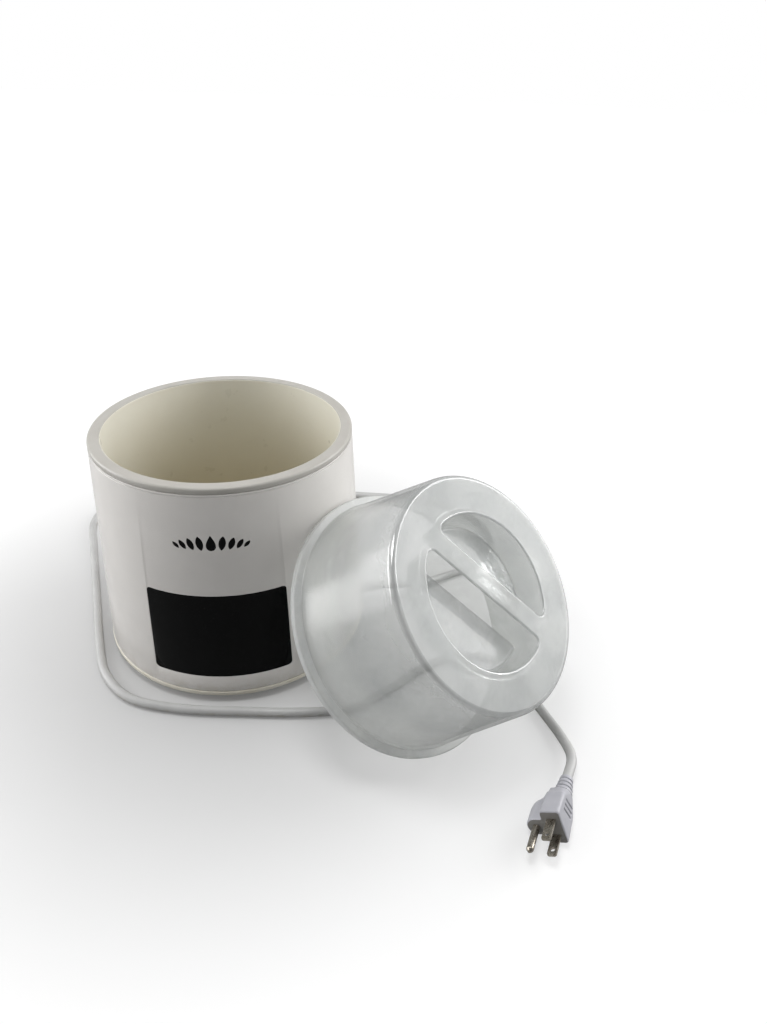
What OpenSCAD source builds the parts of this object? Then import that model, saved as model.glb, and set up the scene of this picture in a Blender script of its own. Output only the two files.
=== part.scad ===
// Paraffin wax bath: a heated round pot in a flared plastic shell with a touch
// panel, a clear lid that leans on its side, and a mains lead around its foot.
// The origin is on the pot's vertical axis, on the surface that the feet stand
// on. +Z is up and the control panel faces -Y.

/* [Bath] */
// Height from the table to the top of the rim
bath_h = 188; // [186:1:190]
// Outer radius at the rim
rim_r = 100; // [100:0.5:101]
// Outer radius at the foot of the shell
foot_r = 110; // [110:0.5:111]
// Gap under the base plate, filled by the rubber feet
foot_h = 6.5; // [6.5:0.5:7]
// Thickness of the shell
shell_wall = 2.8; // [2.8:0.1:3]
// Height of the ring that covers the rim
rim_ring_h = 4.8; // [4.5:0.1:5.5]
// Height of the base plate's edge band
base_band_h = 3.9; // [3.8:0.1:4]

/* [Pot] */
// Inner radius of the wax pot
pot_r = 91.2; // [91:0.1:91.3]
// Thickness of the pot's metal
pot_wall = 2; // [1.8:0.1:2]
// Height of the pot's floor above the table
pot_floor_z = 40; // [40:1:42]
// Radius of the corner between the pot's wall and floor
pot_corner_r = 14; // [12:1:15]
// Thickness of the heating plate under the pot
plate_h = 4; // [3.5:0.1:4]
// Radius of the heating plate
plate_r = 70; // [69:1:71]
// Radius of the heating tube's ring
tube_ring_r = 50; // [49:1:51]
// Radius of the heating tube itself
tube_r = 3.3; // [3:0.1:3.4]

/* [Control panel] */
// Lower edge of the touch panel
panel_z0 = 26; // [25:1:27]
// Upper edge of the touch panel
panel_z1 = 101; // [100:1:102]
// Half of the angle that the panel covers, seen from above
panel_half_angle = 28.9; // [28:0.1:30]
// Thickness of the glossy panel
panel_t = 1.6; // [1.5:0.1:1.7]
// Corner radius of the panel
panel_corner_r = 3; // [2:0.5:5]

/* [Lid] */
// Outer radius of the lid's flange
flange_r = 99.4; // [99:0.1:99.8]
// Height of the lid's flange
flange_h = 5; // [4.5:0.5:5.5]
// Outer radius of the lid's wall where it leaves the flange
lid_base_r = 93.4; // [93:0.1:94]
// Outer radius of the lid's wall at the top
lid_top_r = 82.8; // [82:0.1:84]
// Height of the lid
lid_h = 90.2; // [89:0.1:91]
// Thickness of the lid's plastic
lid_wall = 2; // [1.8:0.1:2.2]
// Radius of the round recess in the lid's top
recess_r = 54.5; // [53:0.5:56]
// Depth of that recess
recess_depth = 20; // [18:1:22]
// Width of the grip bar that crosses the recess
bar_w = 16; // [15:0.5:18]
// Distance of the grip bar from the lid's centre line
bar_offset = 4; // [0:0.5:5]
// Direction of the grip bar about the lid's axis
bar_angle = 23.5; // [0:0.5:45]
// Angle between the lid's axis and the vertical while it leans
lid_tilt = 46.9; // [46.9:0.1:47]

/* [Mains lead] */
// Diameter of the mains lead
cord_d = 7.3; // [7:0.1:7.5]
// Height of the lead's outlet above the table
outlet_z = 18; // [18:0.5:19]
// Direction of the outlet about the bath's axis
outlet_angle = 6; // [5:0.5:7]
// Thickness of a plug blade
blade_t = 1.5; // [1.4:0.1:1.6]
// Length of a plug blade
blade_len = 17; // [16:0.5:18]
// Length of the ground pin
pin_len = 21; // [20:0.5:22]

/* [Hidden] */
$fn = 96;

slip = 0.05;                               // radial clearance of a pin in its hole
groove = 0.5;                              // height of the dark joint lines
base_t = 2.8;                              // thickness of the base plate
base_top = foot_h + base_t;
shell_z0 = foot_h + base_band_h + 0.3;     // lower edge of the shell
shell_z1 = bath_h - rim_ring_h;            // upper edge of the shell
pot_out_r = pot_r + pot_wall;
pot_under = pot_floor_z - pot_wall;        // underside of the pot
plate_under = pot_under - plate_h;
tube_z = plate_under - 0.6;                // height of the heating tube's centre
tube_end_z = plate_under - 10;             // lower end of the tube's terminals
tube_gap = 20;                             // half of the angle between its terminals
boss_r = 103.2;                            // place of the shell's screw bosses
foot_place_r = 84;
corner_angles = [45, 135, 225, 315];

board_front = -97.8;                       // front face of the display board
board_t = 1.6;
board_half_w = 30;
board_z0 = 32;
board_z1 = 90;
post_x = 26;
post_z = [36, 86];
key_z = 48;                                // height of the row of touch keys
key_x = [-24, -12, 0, 12, 24];
display_z = 74;

power_min = [-45, 15];                     // corners of the power board
power_max = [62, 75];
power_z = base_top + 3.7;                  // underside of the power board
power_top = power_z + board_t;
power_holes = [[-40, 20], [57, 20], [-40, 70], [57, 70]];

lid_place = [138.4, -100.5, 72.9];         // centre of the lid's open side
lid_turn = -38.8;                          // direction in which the lid leans

gland_r = 109.8;                           // where the gland meets the shell
gland_len = 18;                            // how far the gland stands out
outlet = [cos(outlet_angle), sin(outlet_angle), 0];

plug_place = [228.2, -237.6, 15.2];        // centre of the plug's front face
plug_turn = -116.4;
plug_rise = 6;
plug_roll = 26;
plug_len = 30;
relief_len = 15;
pin_offset = 11.9;                         // ground pin to the line of the blades
blade_gap = 12.7;                          // between the two blades

// Route of the mains lead's centre line from the gland to the plug
lead_z = cord_d / 2 + 0.1;
outlet_end = (gland_r + gland_len) * outlet + [0, 0, outlet_z];
plug_end = plug_place - (plug_len + relief_len)
    * [cos(plug_turn) * cos(plug_rise), sin(plug_turn) * cos(plug_rise), sin(plug_rise)];
route = concat([outlet_end, [140, 15, 17.4], [155, 19.5, 14.6], [171, 29, 9], [188, 41, 4.8]],
    [for (p = [[206, 51], [228, 62], [243, 82], [248, 108], [243, 134], [228, 158],
        [203, 178], [166, 191], [120, 198], [68, 203], [12, 205], [-45, 204], [-98, 200],
        [-140, 190], [-166, 170], [-171, 140], [-159, 98], [-144, 50], [-129, 2],
        [-115, -42], [-100, -80], [-74, -108], [-33, -120], [15, -124], [62, -126],
        [100, -122], [132, -102], [160, -80], [190, -67], [218, -72], [237, -94],
        [246, -124]]) [p[0], p[1], lead_z]],
    [[256, -155, 4.6], [257.5, -177, 7.6], plug_end]);

// Radius of the shell's outer face at a height
function outer_r(z) = foot_r - (foot_r - rim_r) * (z - foot_h) / (bath_h - foot_h);

// Points on an arc about a centre
function arc(centre, r, from, to, steps = 6) =
    [for (i = [0:steps]) centre + r * [cos(from + (to - from) * i / steps),
                                       sin(from + (to - from) * i / steps)]];

// Front outline of the control panel, as x and z
function panel_outline(grow) =
    let (foot_x = outer_r(panel_z0) * sin(panel_half_angle) + grow,
         top_x = outer_r(panel_z1) * sin(panel_half_angle) + grow,
         z0 = panel_z0 - grow, z1 = panel_z1 + grow, r = panel_corner_r + grow)
    concat(arc([-foot_x + r, z0 + r], r, 180, 270), arc([foot_x - r, z0 + r], r, 270, 360),
        arc([top_x - r, z1 - r], r, 0, 90), arc([-top_x + r, z1 - r], r, 90, 180));

// One point of the smooth curve through four neighbouring points
function spline(a, b, c, d, t) = 0.5 * (2 * b + (c - a) * t
    + (2 * a - 5 * b + 4 * c - d) * t * t + (3 * b - a - 3 * c + d) * t * t * t);

// Points along the smooth curve through a list of points
function smooth(p, steps) = let (n = len(p) - 1)
    concat([for (i = [0:n - 1], k = [0:steps - 1])
        spline(i == 0 ? 2 * p[0] - p[1] : p[i - 1], p[i], p[i + 1],
            i == n - 1 ? 2 * p[n] - p[n - 1] : p[i + 2], k / steps)], [p[n]]);

function unit(v) = v / norm(v);

// A round tube swept along points; its rings stay upright to the curve
module tube(p, r, sides) {
    n = len(p) - 1;
    rings = [for (i = [0:n])
        let (along = unit(p[min(i + 1, n)] - p[max(i - 1, 0)]),
             up = abs(along[2]) > 0.9 ? [1, 0, 0] : [0, 0, 1],
             side = unit(cross(up, along)), top = cross(along, side))
        for (k = [0:sides - 1])
            p[i] + r * (cos(360 * (k + 0.5) / sides) * side + sin(360 * (k + 0.5) / sides) * top)];
    polyhedron(points = rings, faces = concat(
        [[for (k = [sides - 1:-1:0]) k]],
        [for (i = [0:n - 1], k = [0:sides - 1]) let (j = (k + 1) % sides)
            [i * sides + k, i * sides + j, (i + 1) * sides + j, (i + 1) * sides + k]],
        [[for (k = [0:sides - 1]) n * sides + k]]));
}

// A ring of the shell's slope, between two depths below its outer face
module slope_ring(z0, z1, outside, inside) {
    rotate_extrude() polygon([[outer_r(z0) - inside, z0], [outer_r(z0) - outside, z0],
        [outer_r(z1) - outside, z1], [outer_r(z1) - inside, z1]]);
}

// The panel's front outline, run back towards the axis
module panel_prism(grow) {
    rotate([90, 0, 0]) linear_extrude(height = foot_r + 5) polygon(panel_outline(grow));
}

// Puts its children at each of the four corners of the base
module at_corners(r) {
    for (a = corner_angles) rotate([0, 0, a]) translate([r, 0, 0]) children();
}

// A pan head screw that points up: head_r, head_h, then the shank
module screw(head_r, head_h, shank_r, shank_h) {
    difference() {
        union() {
            cylinder(r = head_r, h = head_h);
            translate([0, 0, head_h]) cylinder(r = shank_r, h = shank_h);
        }
        for (a = [0, 90]) rotate([0, 0, a]) translate([-head_r * 0.6, -0.3, -1])
            cube([head_r * 1.2, 0.6, 1 + head_h * 0.5]);
    }
}

module outer_shell() {
    ledge_r = pot_out_r + 1.8;
    ledge_z = shell_z1 - pot_wall;
    color("white") difference() {
        union() {
            rotate_extrude() polygon([[outer_r(shell_z0) - shell_wall, shell_z0],
                [outer_r(shell_z0), shell_z0], [outer_r(shell_z1), shell_z1],
                [outer_r(shell_z1) - shell_wall, shell_z1],
                [outer_r(ledge_z) - shell_wall, ledge_z], [ledge_r, ledge_z],
                [ledge_r, ledge_z - 2], [outer_r(ledge_z - 5) - shell_wall, ledge_z - 5]]);
            at_corners(boss_r) translate([0, 0, shell_z0]) cylinder(r = 4.2, h = 22);
            for (x = [-post_x, post_x], z = post_z) board_post(x, z);
        }
        intersection() {
            panel_prism(0.2);
            slope_ring(panel_z0 - 2, panel_z1 + 2, -2, panel_t + 0.1);
        }
        translate([-16, -foot_r, display_z - 7.5]) cube([32, foot_r - 90, 15]);
        at_corners(boss_r) translate([0, 0, shell_z0 - 1]) cylinder(r = 1.5 + slip, h = 17);
        for (x = [-post_x, post_x], z = post_z) translate([x, board_front + 1, z])
            rotate([90, 0, 0]) cylinder(r = 1 + slip, h = 3);
        rotate([0, 0, outlet_angle]) translate([gland_r - 10, 0, outlet_z])
            rotate([0, 90, 0]) cylinder(r = 5.5 + slip, h = 20);
    }
}

// A post that holds the display board to the back of the shell
module board_post(x, z) {
    depth = sqrt(pow(outer_r(z) - (panel_t + shell_wall) / 2, 2) - x * x) + board_front;
    translate([x, board_front, z]) rotate([90, 0, 0]) cylinder(r = 2.6, h = depth);
}

module rim_ring() {
    edge = outer_r(bath_h);
    color("gainsboro") rotate_extrude() polygon(concat(
        [[pot_r, shell_z1], [edge - 0.9, shell_z1], [edge - 0.9, shell_z1 + groove],
            [edge + 0.1, shell_z1 + groove]],
        arc([edge - 1.9, bath_h - 2], 2, 0, 90), arc([pot_r + 1, bath_h - 1], 1, 90, 180, 4)));
}

module wax_pot() {
    lip_r = outer_r(shell_z1) - shell_wall - 0.2;
    color("ivory") {
        rotate_extrude() polygon(concat([[0, pot_floor_z], [0, pot_under]],
            arc([pot_out_r - pot_corner_r, pot_under + pot_corner_r], pot_corner_r, 270, 360, 8),
            [[pot_out_r, shell_z1 - pot_wall], [lip_r, shell_z1 - pot_wall], [lip_r, shell_z1],
                [pot_r, shell_z1]],
            arc([pot_out_r - pot_corner_r, pot_under + pot_corner_r],
                pot_corner_r - pot_wall, 360, 270, 8)));
        for (a = [0, 120, 240]) rotate([0, 0, a + 90]) translate([62, 0, pot_under - 11])
            cylinder(r = 2, h = 12);
    }
}

module insulation_sleeve() {
    color("lightgray") translate([0, 0, 60]) difference() {
        cylinder(r = pot_out_r + 1.8, h = 110);
        translate([0, 0, -1]) cylinder(r = pot_out_r + slip, h = 112);
    }
}

module heating_plate() {
    color("silver") difference() {
        translate([0, 0, plate_under]) cylinder(r = plate_r, h = plate_h);
        translate([0, 0, tube_z]) rotate_extrude() translate([tube_ring_r, 0])
            circle(r = tube_r + slip, $fn = 48);
        for (a = [0, 120, 240]) rotate([0, 0, a + 90]) translate([62, 0, plate_under - 1])
            cylinder(r = 2 + slip, h = plate_h + 2);
        rotate([0, 0, -20]) translate([60, 0, plate_under - 1]) cylinder(r = 2 + slip, h = 4);
    }
}

module heating_element() {
    color("dimgray") {
        translate([0, 0, tube_z]) rotate([0, 0, -90 + tube_gap])
            rotate_extrude(angle = 360 - 2 * tube_gap) translate([tube_ring_r, 0])
                circle(r = tube_r, $fn = 48);
        for (a = [-tube_gap, tube_gap]) rotate([0, 0, a - 90])
            translate([tube_ring_r, a > 0 ? 1.8 : -1.8, tube_end_z])
                cylinder(r = 1.5, h = tube_z - tube_end_z);
    }
}

module plate_nuts() {
    color("silver") for (a = [0, 120, 240]) rotate([0, 0, a + 90])
        translate([62, 0, plate_under - 3.2]) difference() {
            cylinder(r = 4.04, h = 3.2, $fn = 6);
            translate([0, 0, -1]) cylinder(r = 2 + slip, h = 6);
        }
}

module thermostat() {
    color("tan") translate([0, -20, 0]) {
        translate([0, 0, plate_under - 3.5]) cylinder(r = 9, h = 3.5);
        translate([0, 0, plate_under - 10]) cylinder(r = 7.5, h = 7);
        for (x = [-4, 4]) translate([x - 1.6, -0.4, plate_under - 17]) cube([3.2, 0.8, 8]);
    }
}

module thermal_fuse() {
    color("white") translate([15, -30, plate_under - 2]) rotate([0, 90, 0])
        cylinder(r = 2, h = 11);
}

module fuse_clip() {
    color("silver") difference() {
        translate([18, -33, plate_under - 5]) cube([5, 6, 5]);
        translate([10, -30, plate_under - 2]) rotate([0, 90, 0]) cylinder(r = 2 + slip, h = 20);
        translate([17, -30 - 2 - slip, plate_under - 2]) cube([7, 4 + 2 * slip, 3]);
    }
}

module temperature_sensor() {
    color("silver") translate([-74.5, -8, pot_under - 2]) rotate([-90, 0, 0])
        cylinder(r = 2, h = 16);
}

module sensor_clip() {
    color("silver") difference() {
        translate([-78, -3, pot_under - 5]) cube([7, 6, 5]);
        translate([-74.5, -10, pot_under - 2]) rotate([-90, 0, 0])
            cylinder(r = 2 + slip, h = 20);
        translate([-74.5 - 2 - slip, -4, pot_under - 2]) cube([4 + 2 * slip, 8, 3]);
    }
}

module sensor_lead() {
    color("black") tube(smooth([[-74.5, 8, pot_under - 2], [-74.5, 16, pot_under - 3],
        [-66, 27, 28], [-54, 30, 19], [-46, 28, 16], [-40, 27, power_top + 0.9]], 3), 0.7, 6);
}

module base_plate() {
    color("ivory") difference() {
        union() {
            rotate_extrude() polygon([[0, foot_h], [outer_r(foot_h) - 1, foot_h],
                [outer_r(foot_h) - 0.2, foot_h + 0.8],
                [outer_r(foot_h + base_band_h) - 0.2, foot_h + base_band_h],
                [outer_r(foot_h + base_band_h) - 2.6, foot_h + base_band_h],
                [outer_r(foot_h + base_band_h) - 2.6, base_top], [0, base_top]]);
            at_corners(boss_r) translate([0, 0, base_top - 0.5])
                cylinder(r = 3.4, h = shell_z0 - base_top + 0.5);
            for (p = power_holes) translate([p[0], p[1], base_top - 0.5])
                cylinder(r = 3, h = power_z - base_top + 0.5);
        }
        at_corners(boss_r) {
            translate([0, 0, foot_h - 1]) cylinder(r = 1.5 + slip, h = 8);
            translate([0, 0, foot_h - 1]) cylinder(r = 3.2, h = 2.4);
        }
        at_corners(foot_place_r) translate([0, 0, foot_h - 1])
            cylinder(r = 3 + slip, h = base_t + 2);
        for (p = power_holes) translate([p[0], p[1], base_top - 1])
            cylinder(r = 1.2 + slip, h = 8);
    }
}

module rubber_feet() {
    color("gray") at_corners(foot_place_r) {
        cylinder(r1 = 8, r2 = 9, h = foot_h);
        cylinder(r = 3, h = base_top);
    }
}

module base_screws() {
    color("silver") at_corners(boss_r) translate([0, 0, foot_h - 0.4])
        screw(2.9, 1.8, 1.5, 14);
}

module control_panel() {
    color([0.05, 0.05, 0.05]) intersection() {
        panel_prism(0);
        slope_ring(panel_z0 - 2, panel_z1 + 2, 0, panel_t);
    }
}

module display_board() {
    color("darkgreen") difference() {
        translate([-board_half_w, board_front, board_z0])
            cube([2 * board_half_w, board_t, board_z1 - board_z0]);
        for (x = [-post_x, post_x], z = post_z) translate([x, board_front + 3, z])
            rotate([90, 0, 0]) cylinder(r = 1 + slip, h = 5);
    }
}

module led_display() {
    color("dimgray") translate([-15, board_front - 5.2, display_z - 6.5]) cube([30, 5.2, 13]);
}

module touch_springs() {
    color("silver") for (x = key_x) {
        reach = sqrt(pow(outer_r(key_z + 3) - shell_wall, 2) - pow(abs(x) + 3, 2)) + board_front;
        translate([x, board_front, key_z]) rotate([90, 0, 0]) difference() {
            cylinder(r = 3, h = reach - 0.1);
            translate([0, 0, -1]) cylinder(r = 2.4, h = reach + 2);
        }
    }
}

module board_screws() {
    color("silver") {
        for (x = [-post_x, post_x], z = post_z) translate([x, board_front + board_t + 0.8, z])
            rotate([90, 0, 0]) screw(1.8, 0.8, 1, board_t + 1.6);
        for (p = power_holes) translate([p[0], p[1], power_top + 1.6]) rotate([180, 0, 0])
            screw(2.6, 1.6, 1.2, board_t + 3);
    }
}

module display_cable() {
    bend = 6;
    back = board_front + board_t;
    color("lightgray") translate([18, 0, 0]) rotate([90, 0, -90]) linear_extrude(height = 10)
        polygon(concat([[-back, 40], [-back, power_top + bend]],
            arc([-back - bend, power_top + bend], bend, 0, -90),
            [[-20, power_top], [-20, power_top + 0.8]],
            arc([-back - bend, power_top + bend], bend - 0.8, -90, 0),
            [[-back - 0.8, 40]]));
}

module power_board() {
    color("darkgreen") difference() {
        translate([power_min[0], power_min[1], power_z])
            cube([power_max[0] - power_min[0], power_max[1] - power_min[1], board_t]);
        for (p = power_holes) translate([p[0], p[1], power_z - 1])
            cylinder(r = 1.2 + slip, h = 4);
    }
}

module relay() {
    color("royalblue") translate([-30, 26, power_top]) cube([19, 15.5, 15]);
}

module transformer() {
    color("gold") translate([0, 40, power_top]) {
        cube([24, 20, 4]);
        translate([4, 0, 4]) cube([16, 20, 9]);
    }
}

module filter_capacitors() {
    color("darkslategray") for (x = [-32, -18]) translate([x, 58, power_top])
        cylinder(r = 5, h = 14);
}

module terminal_block() {
    color("seagreen") difference() {
        translate([47, 27, power_top]) cube([12, 30, 12]);
        for (y = [32, 42, 52]) {
            translate([53, y, power_top + 7]) cylinder(r = 2.2, h = 6);
            translate([55, y, power_top + 4]) rotate([0, 90, 0]) cylinder(r = 1.3, h = 6);
        }
    }
}

module mains_wires() {
    inner = gland_r - 8.5;
    side = [-outlet[1], outlet[0], 0];
    start = inner * outlet + [0, 0, outlet_z];
    block = [59.1, 0, power_top + 4];
    color("black") tube(smooth([start + 2.4 * side, start + 2.4 * side - 8 * outlet,
        [80, 30, 19], [70, 40, 19], block + [6, 42, 0], block + [0, 42, 0]], 3), 1.1, 6);
    color("white") tube(smooth([start - 2.4 * side, start - 2.4 * side - 10 * outlet,
        [78, 20, 19], [70, 30, 19], block + [6, 32, 0], block + [0, 32, 0]], 3), 1.1, 6);
    color("green") tube(smooth([start + [0, 0, 3.2], start + [0, 0, 3.4] - 10 * outlet,
        [82, -8, 24], [75, -19, 30], [68, -23.5, plate_under - 1.2],
        [64.2, -23.4, plate_under - 1.2]], 3), 1.1, 6);
}

module heater_wires() {
    probe = [-4, -20, plate_under - 17];
    end_a = [-tube_ring_r * sin(tube_gap) - 1.8 * cos(tube_gap),
        -tube_ring_r * cos(tube_gap) + 1.8 * sin(tube_gap), tube_end_z];
    color("white") {
        tube(smooth([[-20, 19, power_top + 1.3], [-20, 8, power_top + 1.6], [-14, -8, 15],
            probe + [-1, 6, -3], probe - [0, 0, 3.4], probe], 3), 1.2, 6);
        tube(smooth([probe + [8, 0, 0], probe + [8, 0, -3.4], [0, -30, 12.5],
            [-12, -43, 14], end_a - [0, 0, 5], end_a], 3), 1.2, 6);
        tube(smooth([[30, 19, power_top + 1.3], [31, 8, 18], [34, -12, 23], [35, -25, 28],
            [31, -30, plate_under - 2], [26, -30, plate_under - 2]], 3), 1.2, 6);
        tube(smooth([[15, -30, plate_under - 2], [10, -31, plate_under - 3], [9, -38, 26],
            [14, -45, 20], [-end_a[0], end_a[1], end_a[2] - 5], [-end_a[0], end_a[1], end_a[2]]],
            3), 1.2, 6);
    }
}

module earth_lug() {
    color("silver") rotate([0, 0, -20]) translate([60, 0, plate_under - 1]) difference() {
        union() {
            cylinder(r = 4.2, h = 1);
            translate([0, -2, 0]) cube([8, 4, 1]);
        }
        translate([0, 0, -1]) cylinder(r = 2 + slip, h = 3);
    }
}

module earth_screw() {
    color("silver") rotate([0, 0, -20]) translate([60, 0, plate_under - 3.2])
        screw(3.6, 2.2, 2, 3.8);
}

// A tapered rubber sleeve with grip grooves, clamped in the shell's outlet hole
module cord_gland() {
    tip_r = cord_d / 2 + 0.9;
    root_r = 6.2;
    color("whitesmoke") rotate([0, 0, outlet_angle]) translate([0, 0, outlet_z])
        rotate([0, 90, 0]) rotate_extrude() polygon(concat(
            [[0, gland_r - 8.3], [7.2, gland_r - 8.3], [7.2, gland_r - 5.2],
                [5.5, gland_r - 5.2], [5.5, gland_r], [7.2, gland_r], [7.2, gland_r + 2.4]],
            [for (i = [0:3]) let (x = 4 + 3.4 * i, r = root_r + (tip_r - root_r) * x / gland_len)
                each [[r, gland_r + x - 1.4], [r, gland_r + x], [r - 0.9, gland_r + x + 0.4],
                    [r - 0.9, gland_r + x + 2]]],
            [[tip_r, gland_r + gland_len - 1.6], [tip_r, gland_r + gland_len],
                [0, gland_r + gland_len]]));
}

module power_cord() {
    color("whitesmoke") tube(smooth(route, 2), cord_d / 2, 10);
}

// Puts its children in the plug's own frame: prongs along +X, pin side -Y
module at_plug() {
    translate(plug_place) rotate([0, 0, plug_turn]) rotate([0, -plug_rise, 0])
        rotate([plug_roll, 0, 0]) children();
}

module plug_relief() {
    r0 = cord_d / 2 + 0.8;
    r1 = 6.4;
    color("gainsboro") at_plug() translate([-plug_len - relief_len, 0, 0])
        rotate([0, 90, 0]) rotate_extrude() polygon(concat([[0, 0], [r0, 0]],
            [for (i = [0:2]) let (x = 3 + 4 * i, r = r0 + (r1 - r0) * x / relief_len)
                each [[r, x], [r - 0.8, x + 0.3], [r - 0.8, x + 1.3], [r + 0.2, x + 1.6]]],
            [[r1, relief_len], [0, relief_len]]));
}

module plug_body() {
    half = 7;
    color("lavender") at_plug() difference() {
        intersection() {
            translate([0, 0, -14]) linear_extrude(height = 28) polygon(concat(
                [[-plug_len, -6.5], [-24, -7.5], [-19, -10]],
                arc([-8, -8], 10.4, 192, 250, 4), [[0, -18.4], [0, half], [-22, half],
                    [-plug_len, 6.5]]));
            union() {
                rotate([90, 0, 0]) translate([0, 0, -half]) linear_extrude(height = 2 * half)
                    polygon([[-plug_len, -6.5], [-20, -11.5], [0, -13], [0, 13], [-20, 11.5],
                        [-plug_len, 6.5]]);
                translate([-plug_len, -pin_offset, 0]) rotate([0, 90, 0])
                    cylinder(r = 6.5, h = plug_len);
                translate([-plug_len, -pin_offset, -6.5]) cube([plug_len, pin_offset, 13]);
            }
        }
        for (z = [-blade_gap / 2, blade_gap / 2]) translate([-12, -3.2, z - blade_t / 2 - slip])
            cube([13, 6.4, blade_t + 2 * slip]);
        translate([-13, -pin_offset, 0]) rotate([0, 90, 0]) cylinder(r = 2.4 + slip, h = 14);
    }
}

module plug_blades() {
    hole_x = blade_len - 4.6;
    color("silver") at_plug() for (z = [-blade_gap / 2, blade_gap / 2]) difference() {
        translate([-12, -3.15, z - blade_t / 2]) linear_extrude(height = blade_t)
            polygon([[0, 0], [10.5 + blade_len, 0], [12 + blade_len, 1.5],
                [12 + blade_len, 4.8], [10.5 + blade_len, 6.3], [0, 6.3]]);
        translate([hole_x, 0, z - 2]) cylinder(r = 1.6, h = 4);
    }
}

module ground_pin() {
    color("silver") at_plug() translate([-13, -pin_offset, 0]) rotate([0, 90, 0]) {
        cylinder(r = 2.4, h = 11 + pin_len);
        translate([0, 0, 11 + pin_len]) cylinder(r1 = 2.4, r2 = 1, h = 2);
    }
}

// The two pockets beside the grip bar, grown by a wall thickness
module pockets(grow) {
    draft = 3.5;
    half = bar_w / 2 - grow;
    floor_z = lid_h - recess_depth - grow;
    difference() {
        translate([0, 0, floor_z])
            cylinder(r1 = recess_r - draft + grow, r2 = recess_r + grow, h = lid_h + 1 - floor_z);
        rotate([90, 0, bar_angle + 90]) translate([bar_offset, 0, -lid_base_r])
            linear_extrude(height = 2 * lid_base_r)
                polygon([[-half - draft, floor_z - 1], [half + draft, floor_z - 1],
                    [half, lid_h + 2], [-half, lid_h + 2]]);
    }
}

// The lid upright, with its open side down
module lid_solid(inset) {
    top = lid_h - inset;
    edge = 4 - inset;
    step = inset == 0 ? flange_h : flange_h - lid_wall + 0.2;
    foot = inset == 0 ? 0 : -1;
    rotate_extrude() polygon(concat([[0, foot], [flange_r - inset, foot],
        [flange_r - inset, step], [lid_base_r - inset, step]],
        arc([lid_top_r - inset - edge, top - edge], edge, 7, 90), [[0, top]]));
}

module lid() {
    color("gainsboro", 0.5) translate(lid_place) rotate([0, lid_tilt, lid_turn]) difference() {
        lid_solid(0);
        pockets(0);
        difference() {
            lid_solid(lid_wall);
            pockets(lid_wall);
        }
    }
}

outer_shell();
rim_ring();
wax_pot();
insulation_sleeve();
heating_plate();
heating_element();
plate_nuts();
thermostat();
thermal_fuse();
fuse_clip();
temperature_sensor();
sensor_clip();
sensor_lead();
base_plate();
rubber_feet();
base_screws();
control_panel();
display_board();
led_display();
touch_springs();
board_screws();
display_cable();
power_board();
relay();
transformer();
filter_capacitors();
terminal_block();
mains_wires();
heater_wires();
earth_lug();
earth_screw();
cord_gland();
power_cord();
plug_relief();
plug_body();
plug_blades();
ground_pin();
lid();
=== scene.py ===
"""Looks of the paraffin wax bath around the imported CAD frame. Lengths in the
building code are millimetres, and MM turns them into Blender's metres."""

import math

import bmesh
import bpy
from mathutils import Matrix, Vector


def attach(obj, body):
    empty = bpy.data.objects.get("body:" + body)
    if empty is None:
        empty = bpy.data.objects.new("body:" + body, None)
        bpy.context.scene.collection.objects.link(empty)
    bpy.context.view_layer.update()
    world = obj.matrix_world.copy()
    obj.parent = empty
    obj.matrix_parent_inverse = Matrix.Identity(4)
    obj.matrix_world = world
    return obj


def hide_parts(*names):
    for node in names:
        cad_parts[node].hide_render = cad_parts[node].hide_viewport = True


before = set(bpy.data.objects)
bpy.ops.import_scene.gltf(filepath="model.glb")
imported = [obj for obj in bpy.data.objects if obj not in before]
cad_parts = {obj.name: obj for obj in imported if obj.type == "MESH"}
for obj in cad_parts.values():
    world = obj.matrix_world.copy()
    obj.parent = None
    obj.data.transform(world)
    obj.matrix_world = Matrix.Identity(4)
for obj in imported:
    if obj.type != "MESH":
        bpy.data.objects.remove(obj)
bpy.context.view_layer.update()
scene = bpy.context.scene
MM = 0.001
TAU = 2 * math.pi

# ---------------------------------------------------------------- dimensions
BATH_H, FOOT_H = 188.0, 6.5
RIM_R, FOOT_R = 100.0, 110.0
SHELL_Z0, SHELL_Z1, SHELL_WALL = 10.7, 183.2, 2.8
BAND_TOP, BASE_TOP = 10.4, 9.3
POT_R, POT_WALL, POT_FLOOR, POT_CORNER, POT_SKIN = 91.2, 2.0, 40.0, 14.0, 0.4
PANEL_Z0, PANEL_Z1, PANEL_T, PANEL_CORNER = 26.0, 101.0, 1.6, 3.0
PANEL_HALF_ANGLE = math.radians(28.9)
MARK_X, MARK_Z, MARK_H = 1.6, 146.0, 6.2
CORNERS = [math.radians(a) for a in (45, 135, 225, 315)]
BOSS_R, FOOT_PLACE_R = 103.2, 84.0
SCREW_POCKET_R, SCREW_POCKET_TOP = 3.2, 7.9
RIM_Z0, RIM_STEP_Z, POT_LIP_Z = 183.2, 183.7, 181.2
POT_SKIN_TOP = 187.1
SHELL_GROOVE_Z, SHELL_GROOVE_HALF, SHELL_GROOVE_DEPTH = 181.5, 0.3, 0.5
ROUND_SEGMENTS, SLEEVE_SEGMENTS, PIN_SEGMENTS, PLUG_SIDES = 240, 72, 48, 120

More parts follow.
